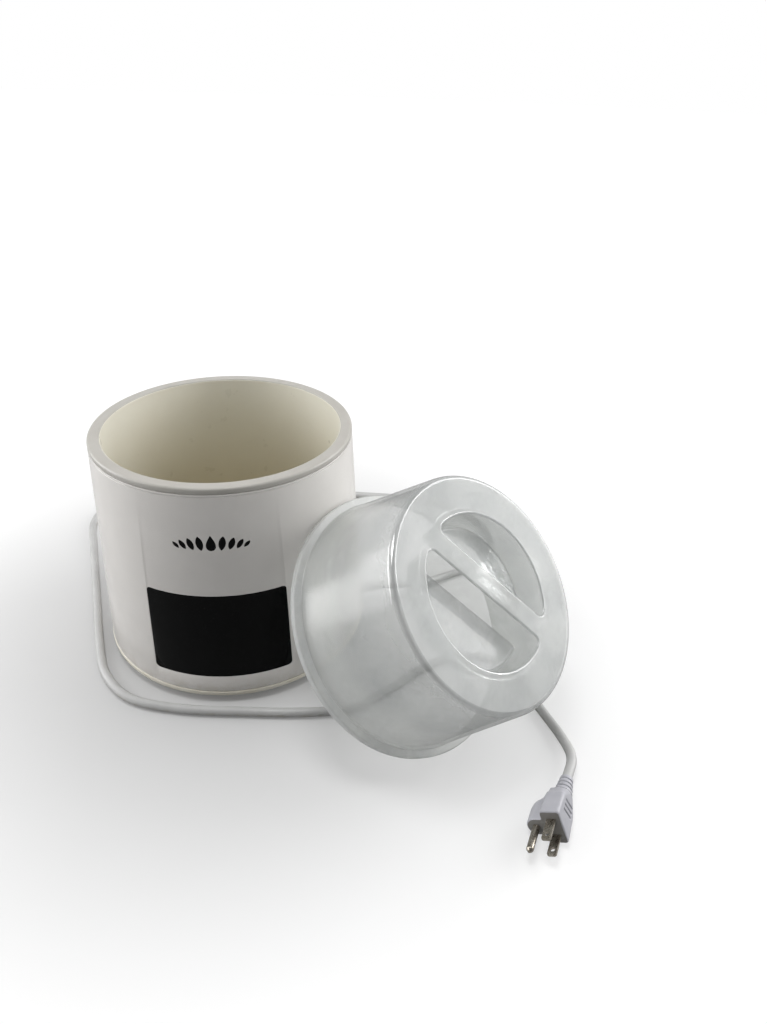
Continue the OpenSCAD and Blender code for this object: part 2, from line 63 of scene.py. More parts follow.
FLANGE_R, FLANGE_H, LID_H, LID_WALL = 99.4, 5.0, 90.2, 2.0
LID_BASE_R, LID_TOP_R, LID_EDGE = 93.4, 82.8, 4.0
RECESS_R, RECESS_DEPTH, DRAFT, POCKET_CORNER = 54.5, 20.0, 3.5, 5.0
BAR_W, BAR_OFFSET, BAR_ANGLE = 16.0, 4.0, math.radians(23.5)
LID_FRAME = (
    Matrix.Translation((138.4, -100.5, 72.9))
    @ Matrix.Rotation(math.radians(-38.8), 4, "Z")
    @ Matrix.Rotation(math.radians(46.9), 4, "Y")
)

CORD_D = 7.3
OUTLET_ANGLE = math.radians(6)
GLAND_R, GLAND_LEN, OUTLET_Z = 109.8, 18.0, 18.0
GLAND_FRAME = (
    Matrix.Rotation(OUTLET_ANGLE, 4, "Z")
    @ Matrix.Translation((0, 0, OUTLET_Z))
    @ Matrix.Rotation(math.radians(90), 4, "Y")
)
PLUG_LEN, RELIEF_LEN, PIN_OFFSET, BLADE_GAP = 30.0, 15.0, 11.9, 12.7
BLADE_LEN, BLADE_ROOT, BLADE_HALF_W, BLADE_HALF_T = 17.0, 12.0, 3.15, 0.75
BLADE_HOLE_R, BLADE_HOLE_X = 1.6, 12.4
PIN_R, PIN_LEN, PIN_ROOT = 2.4, 34.0, 13.0
# the plug's body: its middle line, its block and the lobe round the earth pin
PLUG_MIDDLE_Y, BLOCK_MIDDLE_Y, BLOCK_HALF_Y, LOBE_R = -2.0, -0.25, 6.75, 6.5
GRIP_X, GRIP_SLANT, GRIP_HALF, GRIP_DEPTH = (-20.5, -16.5, -12.5), 0.35, 0.75, 0.7
PLUG_FRAME = (
    Matrix.Translation((228.2, -237.6, 15.2))
    @ Matrix.Rotation(math.radians(-116.4), 4, "Z")
    @ Matrix.Rotation(math.radians(-6), 4, "Y")
    @ Matrix.Rotation(math.radians(26), 4, "X")
)


def outer_r(z):
    """Radius of the shell's outer face at a height."""
    return FOOT_R - (FOOT_R - RIM_R) * (z - FOOT_H) / (BATH_H - FOOT_H)


# ------------------------------------------------------------------- camera
# its place and aim follow from the outlines of the rim, the foot and the lid
CAM_PLACE, CAM_LENS = (0.0916, -0.5181, 0.4347), 25.5
CAM_AHEAD, CAM_RIGHT = Vector((0.058, 0.8433, -0.5343)), Vector((0.9983, -0.0505, 0.0287))


def build_camera():
    data = bpy.data.cameras.new("camera")
    data.lens = CAM_LENS
    data.clip_end = 50
    camera = bpy.data.objects.new("camera", data)
    scene.collection.objects.link(camera)
    back = -CAM_AHEAD.normalized()
    right = (CAM_RIGHT - back * CAM_RIGHT.dot(back)).normalized()
    axes = Matrix((right, back.cross(right), back)).transposed().to_4x4()
    camera.matrix_world = Matrix.Translation(CAM_PLACE) @ axes
    scene.camera = camera


build_camera()


# ---------------------------------------------------------------- materials
class Look:
    """A Principled material and the nodes that vary it over the surface."""

    def __init__(self, name, roughness=0.3, metallic=0.0, ior=1.5):
        self.material = bpy.data.materials.new(name)
        self.material.use_nodes = True
        self.tree = self.material.node_tree
        self.shader = self.tree.nodes["Principled BSDF"]
        self.output = self.tree.nodes["Material Output"]
        self.set(roughness=roughness, metallic=metallic, ior=ior)
        self.place = self.tree.nodes.new("ShaderNodeTexCoord").outputs["Object"]

    def set(self, **values):
        """Sets the shader's own sockets, as specular_ior_level=0.1."""
        for key, value in values.items():
            name = key.replace("_", " ").title().replace("Ior", "IOR")
            self.shader.inputs[name].default_value = value

    def node(self, kind, **inputs):
        """A node of a kind, with its inputs linked or set."""
        made = self.tree.nodes.new(kind)
        for key, value in inputs.items():
            self.feed(made.inputs[key.replace("_", " ")], value)
        return made

    def feed(self, socket, value):
        """Links a socket, or sets it where the value is a number or colour."""
        if isinstance(value, bpy.types.NodeSocket):
            self.tree.links.new(value, socket)
        else:
            socket.default_value = value

    def stretched(self, stretch, turn=(0, 0, 0)):
        """Coordinates stretched and turned, for a field with a direction."""
        mapping = self.node("ShaderNodeMapping", Vector=self.place)
        mapping.inputs["Scale"].default_value = stretch
        mapping.inputs["Rotation"].default_value = turn
        return mapping.outputs[0]

    def noise(self, size_mm, detail=4.0, rough=0.55, distortion=0.0, place=None):
        """A field from 0 to 1 whose patches are about size_mm across."""
        made = self.node(
            "ShaderNodeTexNoise",
            Vector=place or self.place,
            Scale=1 / (size_mm * MM),
            Detail=detail,
            Roughness=rough,
            Distortion=distortion,
        )
        return made.outputs[0]

    def cells(self, size_mm):
        """Distance to the nearest of points that lie about size_mm apart."""
        made = self.node(
            "ShaderNodeTexVoronoi", Vector=self.place, Scale=1 / (size_mm * MM)
        )
        return made.outputs["Distance"]

    def attribute(self, name):
        """A value stored on the mesh."""
        made = self.tree.nodes.new("ShaderNodeAttribute")
        made.attribute_name = name
        return made.outputs["Fac"]

    def height(self):
        """Height above the table, in metres."""
        parts = self.node("ShaderNodeSeparateXYZ", Vector=self.place)
        return parts.outputs["Z"]

    def spread(self, field, low, high, to_low=0.0, to_high=1.0):
        """A field's low to high mapped to to_low to to_high, and held there."""
        made = self.node("ShaderNodeMapRange", Value=field)
        made.clamp = True
        for name, value in zip(
            ("From Min", "From Max", "To Min", "To Max"), (low, high, to_low, to_high)
        ):
            made.inputs[name].default_value = value
        return made.outputs[0]

    def maths(self, kind, a, b=0.0):
        """One operation of the Math node."""
        made = self.tree.nodes.new("ShaderNodeMath")
        made.operation = kind
        self.feed(made.inputs[0], a)
        self.feed(made.inputs[1], b)
        return made.outputs[0]

    def blend(self, share, a, b):
        """Colour a turning into colour b as share goes from 0 to 1."""
        made = self.tree.nodes.new("ShaderNodeMix")
        made.data_type = "RGBA"
        self.feed(made.inputs[0], share)
        self.feed(made.inputs[6], a)
        self.feed(made.inputs[7], b)
        return made.outputs[2]

    def mixed(self, share, a, b):
        """Shader a turning into shader b as share goes from 0 to 1."""
        made = self.tree.nodes.new("ShaderNodeMixShader")
        self.feed(made.inputs[0], share)
        self.tree.links.new(a.outputs[0], made.inputs[1])
        self.tree.links.new(b.outputs[0], made.inputs[2])
        return made

    def colour(self, value):
        self.feed(self.shader.inputs["Base Color"], value)

    def roughness(self, value):
        self.feed(self.shader.inputs["Roughness"], value)

    def bump(self, height, distance_mm):
        """Relief that is distance_mm high where the field goes from 0 to 1."""
        made = self.node("ShaderNodeBump", Height=height)
        made.inputs["Distance"].default_value = distance_mm * MM
        self.tree.links.new(made.outputs[0], self.shader.inputs["Normal"])
        return made.outputs[0]


def rgb(r, g, b):
    """A colour as 0 to 255 screen values, turned to linear light."""
    return tuple(
        ((c / 255 + 0.055) / 1.055) ** 2.4 if c > 10 else c / 255 / 12.92
        for c in (r, g, b)
    ) + (1.0,)


def moulded(name, tone, shade, roughness, spread=0.08, coat=0.0, grain_mm=0.9,
            grain=0.015, patch_mm=45.0, dirt=None, dirt_top=0.0):
    """Moulded plastic or rubber: uneven tone, fine grain and a worn polish."""
    look = Look(name, roughness=roughness)
    look.set(coat_weight=coat, coat_roughness=0.08)
    wide = look.noise(patch_mm, detail=5, rough=0.6)
    tint = look.blend(look.spread(wide, 0.3, 0.72), tone, shade)
    if dirt is not None:
        low = look.spread(look.height(), 0.004, dirt_top, 1.0, 0.0)
        patchy = look.spread(look.noise(9, detail=6, rough=0.7), 0.42, 0.75)
        tint = look.blend(look.maths("MULTIPLY", low, patchy), tint, dirt)
    look.colour(tint)
    rub = look.noise(14, detail=6, rough=0.65)
    look.roughness(look.spread(rub, 0.3, 0.75, roughness - spread, roughness + spread))
    look.bump(look.noise(grain_mm, detail=3), grain)
    return look


def metal(name, tone, shade, roughness, brushed=(1.0, 1.0, 1.0)):
    """Metal with brushed lines and dull patches."""
    look = Look(name, roughness=roughness, metallic=1.0)
    lines = look.noise(1.6, detail=3, place=look.stretched(brushed))
    patches = look.noise(5, detail=4)
    look.colour(look.blend(look.spread(patches, 0.35, 0.7), tone, shade))
    look.roughness(look.spread(lines, 0.3, 0.7, roughness * 0.7, roughness * 1.35))
    look.bump(lines, 0.01)
    return look


# finishes of parts inside the bath: slot, colour, its shade, roughness, patch size
INNER_PLASTICS = [
    ("tan_plastic", (150, 116, 80), (132, 98, 66), 0.5, 6),
    ("ceramic", (232, 229, 220), (214, 210, 200), 0.4, 4),
    ("wire_black", (34, 34, 36), (24, 24, 26), 0.42, 8),
    ("wire_white", (222, 220, 214), (206, 203, 196), 0.42, 8),
    ("display_dark", (46, 44, 46), (38, 36, 38), 0.3, 6),
    ("cable_grey", (168, 168, 170), (150, 150, 153), 0.5, 5),
    ("relay_blue", (44, 84, 158), (36, 72, 140), 0.34, 6),
    ("transformer_yellow", (206, 168, 70), (186, 148, 56), 0.4, 5),
    ("block_green", (48, 128, 82), (40, 112, 72), 0.4, 5),
]


def make_looks():
    """Every finish, by the material slot that it belongs to in the record."""
    looks = {}
    looks["shell_plastic"] = moulded(
        "glossy_white_plastic", rgb(232, 229, 225), rgb(226, 223, 219), 0.22,
        spread=0.04, grain_mm=5, grain=0.004,
        dirt=rgb(200, 192, 176), dirt_top=0.024)
    looks["rim_plastic"] = moulded(
        "rim_plastic", rgb(192, 189, 183), rgb(185, 182, 175), 0.36, grain_mm=1.2,
        grain=0.012, patch_mm=20)
    looks["base_plastic"] = moulded(
        "cream_base_plastic", rgb(238, 234, 222), rgb(226, 220, 203), 0.4, spread=0.1,
        patch_mm=14, dirt=rgb(196, 186, 164), dirt_top=0.0078)
    looks["foot_rubber"] = moulded(
        "foot_rubber", rgb(118, 117, 115), rgb(96, 95, 93), 0.75, spread=0.1,
        grain_mm=0.7, grain=0.04, patch_mm=9)
    looks["cord_white"] = moulded(
        "lead_vinyl", rgb(196, 196, 195), rgb(180, 180, 179), 0.42, grain_mm=1.0,
        grain=0.02, patch_mm=30, dirt=rgb(166, 160, 148), dirt_top=0.005)
    looks["plug_plastic"] = moulded(
        "plug_vinyl", rgb(186, 186, 192), rgb(176, 176, 183), 0.36, grain_mm=0.8,
        grain=0.02, patch_mm=12)
    plug_insert_and_shade(looks["plug_plastic"])
    looks["pot_coating"] = pot_look()
    looks["panel_black"] = panel_look()
    looks["clear_plastic"] = lid_look()
    looks["nickel"] = metal("plug_nickel", rgb(176, 170, 160), rgb(142, 134, 122), 0.3,
                            brushed=(1, 1, 0.2))
    looks["zinc_steel"] = metal("zinc_steel", rgb(190, 190, 188), rgb(166, 166, 162), 0.32)
    looks["bare_aluminium"] = metal("bare_aluminium", rgb(200, 201, 203),
                                    rgb(178, 180, 183), 0.34, brushed=(1, 0.1, 1))
    looks["tube_steel"] = metal("tube_steel", rgb(96, 92, 90), rgb(70, 64, 62), 0.45)
    looks["insulation"] = moulded("insulation_felt", rgb(216, 214, 208),
                                  rgb(190, 187, 180), 0.92, grain_mm=0.8, grain=0.4,
                                  patch_mm=6)
    looks["board_green"] = moulded("board_green", rgb(30, 84, 50), rgb(24, 70, 44), 0.34,
                                   patch_mm=5, coat=0.3)
    for slot, tone, shade, roughness, patch_mm in INNER_PLASTICS:
        looks[slot] = moulded(slot, rgb(*tone), rgb(*shade), roughness, patch_mm=patch_mm)
    return looks


def plug_insert_and_shade(look):
    """Turns the plug's front face, where the mesh's own value for it is high, to a
    greyer brown: partly the greyer plastic that holds its prongs, partly painted shade."""
    plain = look.shader.inputs["Base Color"].links[0].from_socket
    # painted shade: the front face is darkened as if turned from the lamps, on top of the
    # insert's greyer plastic
    mottled = look.blend(look.noise(3), rgb(134, 132, 129), rgb(118, 116, 112))
    look.colour(look.blend(look.attribute("insert_and_shade"), plain, mottled))


def pot_look():
    """The pot's cream non-stick coating, darker towards its floor."""
    look = Look("pot_coating", roughness=0.3)
    wide = look.noise(38, detail=5, rough=0.6, distortion=0.4)
    cream = look.blend(look.spread(wide, 0.3, 0.72), rgb(238, 236, 224), rgb(234, 231, 218))
    depth = look.spread(look.height(), 0.04, 0.18, 1.0, 0.0)
    cream = look.blend(depth, cream, rgb(184, 174, 146))
    specks = look.spread(look.cells(9), 0.04, 0.06, 0.5, 0.0)
    rare = look.spread(look.noise(24, detail=1), 0.66, 0.7)
    cream = look.blend(look.maths("MULTIPLY", specks, rare), cream, rgb(150, 134, 106))
    look.colour(cream)
    film = look.noise(16, detail=3)
    look.roughness(look.spread(film, 0.3, 0.75, 0.27, 0.36))
    look.bump(look.noise(14, detail=2), 0.03)
    return look


def panel_look():
    """Glossy black panel with dust and a few wiping smears."""
    look = Look("panel_black", roughness=0.12)
    look.set(coat_weight=0.03, coat_roughness=0.05, specular_ior_level=0.07)
    smear = look.noise(7, detail=6, rough=0.7, distortion=0.8,
                       place=look.stretched((1, 1, 0.35)))
    dust = look.spread(look.noise(0.8, detail=2), 0.66, 0.8)
    tint = look.blend(look.spread(smear, 0.45, 0.85), rgb(3, 4, 4), rgb(8, 9, 9))
    look.colour(look.blend(look.maths("MULTIPLY", dust, 0.2), tint, rgb(58, 58, 58)))
    look.roughness(look.spread(smear, 0.35, 0.8, 0.1, 0.26))
    look.bump(look.noise(24, detail=2), 0.03)
    return look


# the lid's plastic: share of milk in its wall and on its top, tint of what is
# seen through one layer, share of gloss by angle, and roughness of its scuffs
WALL_HAZE, TOP_HAZE = 0.12, 0.28
LID_TINT = (0.955, 0.96, 0.955)
GLOSS_FACING, GLOSS_GRAZING, GLOSS_FILLET = 0.045, 0.7, 0.1
WORN_ROUGHNESS = 0.36


def lid_look():
    """Clear plastic gone cloudy: see-through in its wall, milky on its top and
    flange, where the mesh's "cloud" value is high, with a gloss over both. The gloss
    is duller where "worn" is high and stronger on the rounded edges, "fillet"."""
    look = Look("clear_plastic", roughness=0.32)
    look.set(specular_ior_level=0.0)
    cloud = look.attribute("cloud")
    wide = look.noise(30, detail=7, rough=0.6, distortion=0.2)
    smear = look.noise(20, detail=5, rough=0.55, distortion=0.2,
                       place=look.stretched((1, 0.6, 1), (0.4, 0.2, 0.7)))
    specks = look.spread(look.cells(12), 0.03, 0.045, 1.0, 0.0)
    rare = look.spread(look.noise(31, detail=1), 0.62, 0.66)
    specks = look.maths("MULTIPLY", specks, rare)
    top_tint = look.blend(look.spread(wide, 0.3, 0.75), rgb(210, 212, 211), rgb(192, 195, 196))
    wall_tint = look.blend(look.spread(wide, 0.3, 0.75), rgb(240, 241, 239), rgb(224, 226, 226))
    on_top = look.maths("MULTIPLY", look.spread(cloud, 0.2, 1.0),
                        look.spread(cloud, 1.2, 1.5, 1.0, 0.0))
    tint = look.blend(on_top, wall_tint, top_tint)
    tint = look.blend(specks, tint, rgb(110, 100, 88))
    look.colour(tint)
    wall = look.maths("ADD", look.spread(wide, 0.35, 0.8, WALL_HAZE, WALL_HAZE * 1.4),
                      look.spread(smear, 0.5, 0.85, 0.0, 0.08))
    top = look.maths("ADD", look.spread(wide, 0.3, 0.75, TOP_HAZE, TOP_HAZE * 1.2),
                     look.spread(smear, 0.48, 0.8, 0.0, 0.1))
    haze = look.maths("ADD", wall, look.maths("MULTIPLY", cloud, top))
    haze = look.maths("MAXIMUM", haze, specks)
    haze = look.maths("MINIMUM", haze, 0.95)
    clear = look.node("ShaderNodeBsdfTransparent", Color=(*LID_TINT, 1))
    through = look.node("ShaderNodeBsdfTranslucent", Color=tint)
    body = look.mixed(haze, clear, look.mixed(0.5, look.shader, through))
    normal = look.bump(look.noise(30, detail=2), 0.05)
    scuffed = look.maths("MULTIPLY", look.attribute("worn"), WORN_ROUGHNESS)
    polish = look.maths("ADD", look.spread(smear, 0.35, 0.8, 0.04, 0.11), scuffed)
    gloss = look.node("ShaderNodeBsdfGlossy", Roughness=polish, Normal=normal)
    facing = look.node("ShaderNodeLayerWeight", Blend=0.5, Normal=normal)
    edge = look.maths("POWER", facing.outputs["Facing"], 4.0)
    share = look.maths("ADD", look.spread(edge, 0.0, 1.0, GLOSS_FACING, GLOSS_GRAZING),
                       look.maths("MULTIPLY", look.attribute("fillet"), GLOSS_FILLET))
    skin = look.mixed(share, body, gloss)
    look.feed(look.output.inputs["Surface"], skin.outputs[0])
    return look


LOOKS = make_looks()


# ------------------------------------------------------------- mesh builders
def rounded(points, steps=5, closed=True):
    """A polyline whose corners (x, y, radius) are rounded with arcs."""
    out = []
    count = len(points)
    for i, (x, y, r) in enumerate(points):
        corner = Vector((x, y))
        if r == 0 or (not closed and i in (0, count - 1)):
            out.append((x, y))
            continue
        to_a = (Vector(points[i - 1][:2]) - corner).normalized()
        to_b = (Vector(points[(i + 1) % count][:2]) - corner).normalized()
        half = to_a.angle(to_b) / 2
        centre = corner + (to_a + to_b).normalized() * (r / math.sin(half))
        reach = r / math.tan(half)
        a = corner + to_a * reach - centre
        b = corner + to_b * reach - centre
        turn = math.atan2(a.x * b.y - a.y * b.x, a.dot(b))
        for k in range(steps + 1):
            t = turn * k / steps
            out.append((centre.x + a.x * math.cos(t) - a.y * math.sin(t),
                        centre.y + a.x * math.sin(t) + a.y * math.cos(t)))
    return out


def mesh_object(name, verts, faces, look, body, place=None, sharp=40.0):
    """A mesh in millimetres, turned to metres and put on a body."""
    mesh = bpy.data.meshes.new(name)
    place = place or Matrix.Identity(4)
    mesh.from_pydata([(place @ Vector(v)) * MM for v in verts], [], faces)
    return keep_mesh(name, mesh, look, body, sharp)


def keep_mesh(name, mesh, look, body, sharp=40.0):
    """Welds and smooths a mesh, gives it its look and puts it on a body."""
    bm = bmesh.new()
    bm.from_mesh(mesh)
    bmesh.ops.remove_doubles(bm, verts=bm.verts, dist=1e-7)
    bmesh.ops.recalc_face_normals(bm, faces=bm.faces)
    for face in bm.faces:
        face.smooth = True
    bm.to_mesh(mesh)
    bm.free()
    mesh.set_sharp_from_angle(angle=math.radians(sharp))
    mesh.materials.append(LOOKS[look].material)
    obj = bpy.data.objects.new(name, mesh)
    scene.collection.objects.link(obj)
    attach(obj, body)
    return obj


def lathe_mesh(profile, segments, loop=True):
    """Vertices and faces of a profile (r, z) turned about Z. A profile point on
    the axis becomes one vertex."""
    verts, rings = [], []
    for r, z in profile:
        if r < 1e-9:
            rings.append([len(verts)] * segments)
            verts.append((0, 0, z))
            continue
        rings.append(list(range(len(verts), len(verts) + segments)))
        verts += [(r * math.cos(TAU * k / segments), r * math.sin(TAU * k / segments), z)
                  for k in range(segments)]
    faces = []
    last = len(rings) if loop else len(rings) - 1
    for i in range(last):
        a, b = rings[i], rings[(i + 1) % len(rings)]
        for k in range(segments):
            j = (k + 1) % segments
            corners = []
            for v in (a[k], a[j], b[j], b[k]):
                if v not in corners:
                    corners.append(v)
            if len(corners) > 2:
                faces.append(corners)
    return verts, faces


def lathe(name, profile, look, body, segments=ROUND_SEGMENTS, place=None, loop=True):
    """A turned piece: its profile (r, z), closed by itself or on the axis."""
    verts, faces = lathe_mesh(profile, segments, loop)
    return mesh_object(name, verts, faces, look, body, place)


def apply_modifiers(obj):
    """Bakes an object's modifiers into its mesh."""
    graph = bpy.context.evaluated_depsgraph_get()
    graph.update()
    mesh = bpy.data.meshes.new_from_object(obj.evaluated_get(graph))
    obj.modifiers.clear()
    old, obj.data = obj.data, mesh
    bpy.data.meshes.remove(old)


def cut(obj, cutters, bevel_mm=0.0):
    """Takes closed meshes (verts, faces in mm, place) out of an object."""
    made = []
    for verts, faces, place in cutters:
        mesh = bpy.data.meshes.new("cutter")
        mesh.from_pydata([(place @ Vector(v)) * MM for v in verts], [], faces)
        bm = bmesh.new()
        bm.from_mesh(mesh)
        bmesh.ops.recalc_face_normals(bm, faces=bm.faces)
        bm.to_mesh(mesh)
        bm.free()
        cutter = bpy.data.objects.new("cutter", mesh)
        scene.collection.objects.link(cutter)
        made.append(cutter)
        modifier = obj.modifiers.new("cut", "BOOLEAN")
        modifier.operation = "DIFFERENCE"
        modifier.solver = "EXACT"
        modifier.object = cutter
    if bevel_mm:
        modifier = obj.modifiers.new("edge", "BEVEL")
        modifier.width = bevel_mm * MM
        modifier.segments = 2
        modifier.limit_method = "ANGLE"
        modifier.angle_limit = math.radians(50)
    apply_modifiers(obj)
    for cutter in made:
        bpy.data.objects.remove(cutter)
    obj.data.set_sharp_from_angle(angle=math.radians(40))


def rod_mesh(r, z0, z1, sides=48):
    """A closed rod about Z."""
    return lathe_mesh([(0, z0), (r, z0), (r, z1), (0, z1)], sides, loop=False)


# ---------------------------------------------------------------- bath body
def panel_outline(grow):
    """Front outline of the touch panel as (x, z)."""
    foot = outer_r(PANEL_Z0) * math.sin(PANEL_HALF_ANGLE) + grow
    top = outer_r(PANEL_Z1) * math.sin(PANEL_HALF_ANGLE) + grow
    r = PANEL_CORNER + grow
    return rounded([(-foot, PANEL_Z0 - grow, r), (foot, PANEL_Z0 - grow, r),
                    (top, PANEL_Z1 + grow, r), (-top, PANEL_Z1 + grow, r)], 8)


def curved_plate(outline, out_mm, in_mm, bevel_mm=0.0, step_mm=2.0):
    """A plate cut to an outline (x, z) and wrapped on the shell's front, from
    out_mm outside its face to in_mm inside it."""
    bm = bmesh.new()
    bm.faces.new([bm.verts.new((x, -out_mm, z)) for x, z in outline])
    width = max(x for x, z in outline)
    count = int(width // step_mm)
    for k in range(-count, count + 1):
        geometry = bm.verts[:] + bm.edges[:] + bm.faces[:]
        bmesh.ops.bisect_plane(bm, geom=geometry, plane_co=(k * step_mm, 0, 0),
                               plane_no=(1, 0, 0), dist=1e-5)
    rim = [e for e in bm.edges if e.is_boundary]
    grown = bmesh.ops.extrude_face_region(bm, geom=bm.faces[:])
    for v in grown["geom"]:
        if isinstance(v, bmesh.types.BMVert):
            v.co.y = in_mm
    if bevel_mm:
        rim = [e for e in rim if e.is_valid]
        bmesh.ops.bevel(bm, geom=rim, offset=bevel_mm, segments=3, profile=0.5,
                        affect="EDGES", clamp_overlap=True)
    for v in bm.verts:
        r = outer_r(v.co.z) - v.co.y
        v.co.y = -math.sqrt(r * r - v.co.x ** 2)
    bmesh.ops.recalc_face_normals(bm, faces=bm.faces)
    verts = [tuple(v.co) for v in bm.verts]
    faces = [[v.index for v in f.verts] for f in bm.faces]
    bm.free()
    return verts, faces


def build_shell():
    z0, z1, wall = SHELL_Z0, SHELL_Z1, SHELL_WALL
    low, high = SHELL_GROOVE_Z - SHELL_GROOVE_HALF, SHELL_GROOVE_Z + SHELL_GROOVE_HALF
    groove = [(outer_r(low), low, 0.1),
              (outer_r(SHELL_GROOVE_Z) - SHELL_GROOVE_DEPTH, SHELL_GROOVE_Z, 0.1),
              (outer_r(high), high, 0.1)]
    shell = lathe("shell_skin", rounded([
        (outer_r(z0) - wall, z0, 0.3), (outer_r(z0), z0, 0.5), *groove,
        (outer_r(z1), z1, 0.4), (outer_r(z1) - wall, z1, 0.2)], 4),
        "shell_plastic", "bath")
    plate = curved_plate(panel_outline(0.2), 3.0, PANEL_T + 0.1)
    cut(shell, [(*plate, Matrix.Identity(4))], bevel_mm=0.25)
    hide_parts("outer_shell")


def build_panel():
    verts, faces = curved_plate(panel_outline(0.0), 0.0, PANEL_T, bevel_mm=0.35)
    panel = mesh_object("touch_panel", verts, faces, "panel_black", "bath")
    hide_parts("control_panel")


def build_rim():
    edge = outer_r(BATH_H)
    ring = lathe("rim_cap", rounded([
        (POT_R, RIM_Z0, 0), (edge - 0.9, RIM_Z0, 0), (edge - 0.9, RIM_STEP_Z, 0),
        (edge + 0.1, RIM_STEP_Z, 0.25), (edge + 0.1, BATH_H, 1.9), (POT_R, BATH_H, 1.0)], 8),
        "rim_plastic", "bath")
    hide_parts("rim_ring")


def build_pot():
    outer = POT_R + POT_WALL
    under = POT_FLOOR - POT_WALL
    lip = outer_r(SHELL_Z1) - SHELL_WALL - 0.2
    profile = rounded([
        (0, POT_FLOOR, 0), (0, under, 0), (outer, under, POT_CORNER),
        (outer, POT_LIP_Z, 0.4), (lip, POT_LIP_Z, 0.3), (lip, RIM_Z0, 0.3),
        (POT_R, RIM_Z0, 0), (POT_R, POT_SKIN_TOP, 0), (POT_R - POT_SKIN, POT_SKIN_TOP, 0.2),
        (POT_R - POT_SKIN, POT_FLOOR, POT_CORNER - POT_WALL)], 12)
    pot = lathe("pot_lining", profile, "pot_coating", "bath")
    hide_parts("wax_pot")


def build_base():
    edge_low, edge_high = outer_r(FOOT_H) + 0.2, outer_r(BAND_TOP) + 0.3
    profile = rounded([
        (0, FOOT_H, 0), (edge_low, FOOT_H, 0.8), (edge_high, BAND_TOP, 0.9),
        (edge_high - 2.4, BAND_TOP, 0.3), (edge_high - 2.4, BASE_TOP, 0), (0, BASE_TOP, 0)], 5)
    base = lathe("base_tray", profile, "base_plastic", "bath", loop=False)
    pockets = []
    for a in CORNERS:
        spot = Matrix.Rotation(a, 4, "Z") @ Matrix.Translation((BOSS_R, 0, 0))
        pockets.append((*rod_mesh(SCREW_POCKET_R, FOOT_H - 1, SCREW_POCKET_TOP), spot))
    cut(base, pockets, bevel_mm=0.2)
    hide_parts("base_plate")
    feet_verts, feet_faces = [], []
    dimple = rounded([(0, 0.9, 0), (2.6, 0.9, 0.4), (3.2, 0, 0.3), (8.1, 0, 0.7),
                      (9, FOOT_H, 0), (0, FOOT_H, 0)], 4, closed=False)
    for a in CORNERS:
        verts, faces = lathe_mesh(dimple, 64, loop=False)
        spot = Matrix.Rotation(a, 4, "Z") @ Matrix.Translation((FOOT_PLACE_R, 0, 0))
        start = len(feet_verts)
        feet_verts += [tuple(spot @ Vector(v)) for v in verts]
        feet_faces += [[i + start for i in f] for f in faces]
    feet = mesh_object("soft_feet", feet_verts, feet_faces, "foot_rubber", "bath")
    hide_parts("rubber_feet")


def leaf(x, z, long, wide, turn):
    """A pointed leaf outline about (x, z), leaning by turn."""
    points = []
    for k in range(28):
        t = TAU * k / 28
        along_leaf, across = long * math.cos(t), wide * math.sin(t) * abs(math.sin(t)) ** 0.6
        points.append((x + across * math.cos(turn) + along_leaf * math.sin(turn),
                       z + along_leaf * math.cos(turn) - across * math.sin(turn)))
    return points


# the mark's leaves on each side: distance from its middle, size, lean in degrees
LEAVES = [(7.8, 0.92, 10), (14.2, 0.8, 20), (19.8, 0.66, 32), (24.5, 0.5, 44)]


def build_mark():
    """A generic printed ornament above the panel: a drop between leaves."""
    drop = []
    for k in range(48):
        t = TAU * k / 48
        drop.append((MARK_X + MARK_H * 0.75 * math.sin(t) * math.sin(t / 2) ** 1.2,
                     MARK_Z + MARK_H * math.cos(t)))
    shapes = [drop]
    for side in (-1, 1):
        for reach, size, lean in LEAVES:
            shapes.append(leaf(MARK_X + side * reach, MARK_Z - MARK_H * (1 - size) * 0.8,
                               MARK_H * size, MARK_H * size * 0.44,
                               side * math.radians(lean)))
    verts, faces = [], []
    for shape in shapes:
        v, f = curved_plate(shape, 0.05, 0.03, step_mm=1.0)
        faces += [[i + len(verts) for i in face] for face in f]
        verts += v
    mesh_object("printed_mark", verts, faces, "panel_black", "bath")


# --------------------------------------------------------------------- lid
def pocket_loop(side, grow, z):
    """Outline of one pocket beside the grip bar, at a height in the lid's frame.
    grow moves its walls outwards, from the pocket's size at the lid's top."""
    n_line, n_arc, n_corner = 24, 56, 8
    radius = RECESS_R + grow
    edge = BAR_W / 2 + (BAR_OFFSET if side > 0 else -BAR_OFFSET) - grow
    corner = max(POCKET_CORNER + grow, 0.8)
    inner = radius - corner
    half = math.acos(min(1.0, (edge + corner) / inner))
    across = inner * math.sin(half)
    points = []
    for k in range(n_line):
        t = -1 + 2 * k / n_line
        points.append((across * t, edge))
    for k in range(n_corner):
        t = -math.pi / 2 + (math.pi - half) * k / n_corner
        points.append((across + corner * math.cos(t), edge + corner + corner * math.sin(t)))
    for k in range(n_arc):
        t = (math.pi / 2 - half) + 2 * half * k / n_arc
        points.append((radius * math.cos(t), radius * math.sin(t)))
    for k in range(n_corner):
        t = math.pi / 2 + half + (math.pi - half) * k / n_corner
        points.append((-across + corner * math.cos(t), edge + corner + corner * math.sin(t)))
    turn = Matrix.Rotation(BAR_ANGLE, 3, "Z")
    return [tuple(turn @ Vector((x, side * y, 0)) + Vector((0, 0, z))) for x, y in points]


# values of "cloud" on the lid's top, the walls of its recess, and its flange
CLOUD_TOP, CLOUD_RECESS_WALL, CLOUD_FLANGE = 1.0, 0.12, 1.9
# how far below the top its rounded edges reach, and how worn the wall is
RECESS_EDGE_H, TOP_EDGE_H, WALL_WORN = 1.4, 3.2, 0.45


